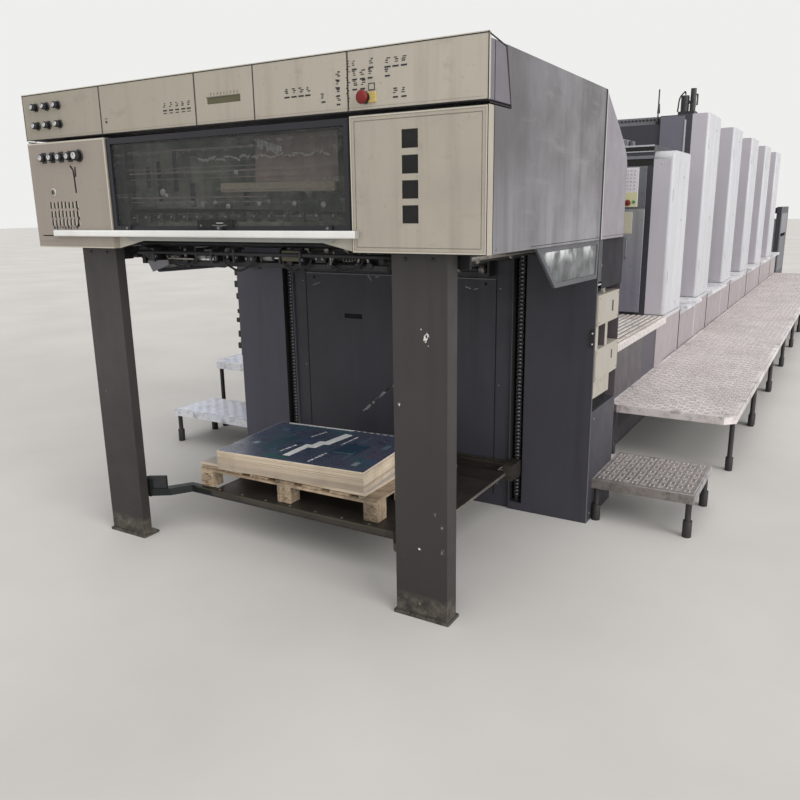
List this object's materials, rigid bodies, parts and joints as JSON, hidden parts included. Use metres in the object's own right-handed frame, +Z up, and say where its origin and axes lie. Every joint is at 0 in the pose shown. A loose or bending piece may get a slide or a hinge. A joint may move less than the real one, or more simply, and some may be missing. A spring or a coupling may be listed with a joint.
{
  "type": "offset printing press",
  "caption": "Sheet-fed offset printing press: raised delivery with pile lift, coating unit, printing units, feeder and galleries.",
  "frame": {"origin": "on the floor, under the middle of the press's length and of its frames", "axes": "+Y from the delivery to the feeder, +X towards the side with the control boxes, +Z up"},
  "size_m": [3.341, 15.359, 2.498],
  "materials": {
    "column_paint": "worn dark grey-brown enamel",
    "dark_paint": "satin dark grey enamel",
    "grey_paint": "satin mid grey enamel, streaked with dirt",
    "pale_paint": "satin pale grey enamel",
    "fascia_paint": "satin warm beige-grey enamel",
    "guard_paint": "satin near-black enamel",
    "tinted_glass": "dark tinted sheet",
    "handle_paint": "pale grey enamel",
    "window_frame_metal": "grey enamel",
    "clear_glass": "clear sheet, dusty",
    "chain_steel": "oiled steel",
    "black_steel": "black enamel and oiled steel",
    "box_paint": "beige enamel",
    "black_plastic": "matt black",
    "stop_plastic": "red button on a yellow plate",
    "lift_steel": "worn dark enamel over steel",
    "pallet_wood": "rough sawn softwood",
    "paper": "cream paper, printed on the top sheet",
    "tread_aluminium": "worn pressed tread plate",
    "feed_steel": "satin steel"
  },
  "bodies": {
    "press": {"front_column_left": "column_paint", "front_column_right": "column_paint", "hood_frame": "dark_paint", "hood_side_left": "grey_paint", "hood_side_right": "grey_paint", "hood_roof": "grey_paint", "hood_rear_cover": "pale_paint", "control_strip": "fascia_paint", "strip_console": "grey_paint", "front_panel_left": "fascia_paint", "front_panel_right": "fascia_paint", "side_window_frames": "window_frame_metal", "side_window_panes": "clear_glass", "rear_pillar_left": "dark_paint", "rear_pillar_right": "dark_paint", "back_wall": "dark_paint", "lift_chains": "chain_steel", "delivery_bars": "black_steel", "fan_bar": "black_steel", "control_boxes": "box_paint", "selector_knobs": "black_plastic", "emergency_stop": "stop_plastic", "extension_housing": "dark_paint", "upper_platforms": "tread_aluminium", "coater_body": "dark_paint", "coater_towers": "pale_paint", "unit_body_1": "dark_paint", "unit_body_2": "dark_paint", "unit_body_3": "dark_paint", "unit_body_4": "dark_paint", "unit_body_5": "dark_paint", "unit_towers_1": "pale_paint", "unit_towers_2": "pale_paint", "unit_towers_3": "pale_paint", "unit_towers_4": "pale_paint", "unit_towers_5": "pale_paint", "lower_covers_right": "pale_paint", "lower_covers_left": "pale_paint", "footboards": "tread_aluminium", "ink_pump": "black_steel", "gallery_right": "tread_aluminium", "gallery_left": "tread_aluminium", "step_right": "tread_aluminium", "step_left": "tread_aluminium", "feed_board": "feed_steel", "feeder_frame": "dark_paint", "feeder_head": "feed_steel"},
    "guard": {"guard_frame": "guard_paint", "guard_glass": "tinted_glass", "guard_handle": "handle_paint"},
    "pile_lift": {"lift_plate": "lift_steel", "pallet": "pallet_wood", "sheet_pile": "paper"}
  },
  "joints": [
    {"name": "guard_hinge", "type": "hinge", "parent": "press", "child": "guard", "pos_m": [0, -7.6485, 1.779], "axis": [-1, 0, 0], "range_deg": [0, 90]},
    {"name": "pile_slide", "type": "slide", "parent": "press", "child": "pile_lift", "axis": [0, 0, 1], "range_m": [-0.14, 0.7]}
  ]
}
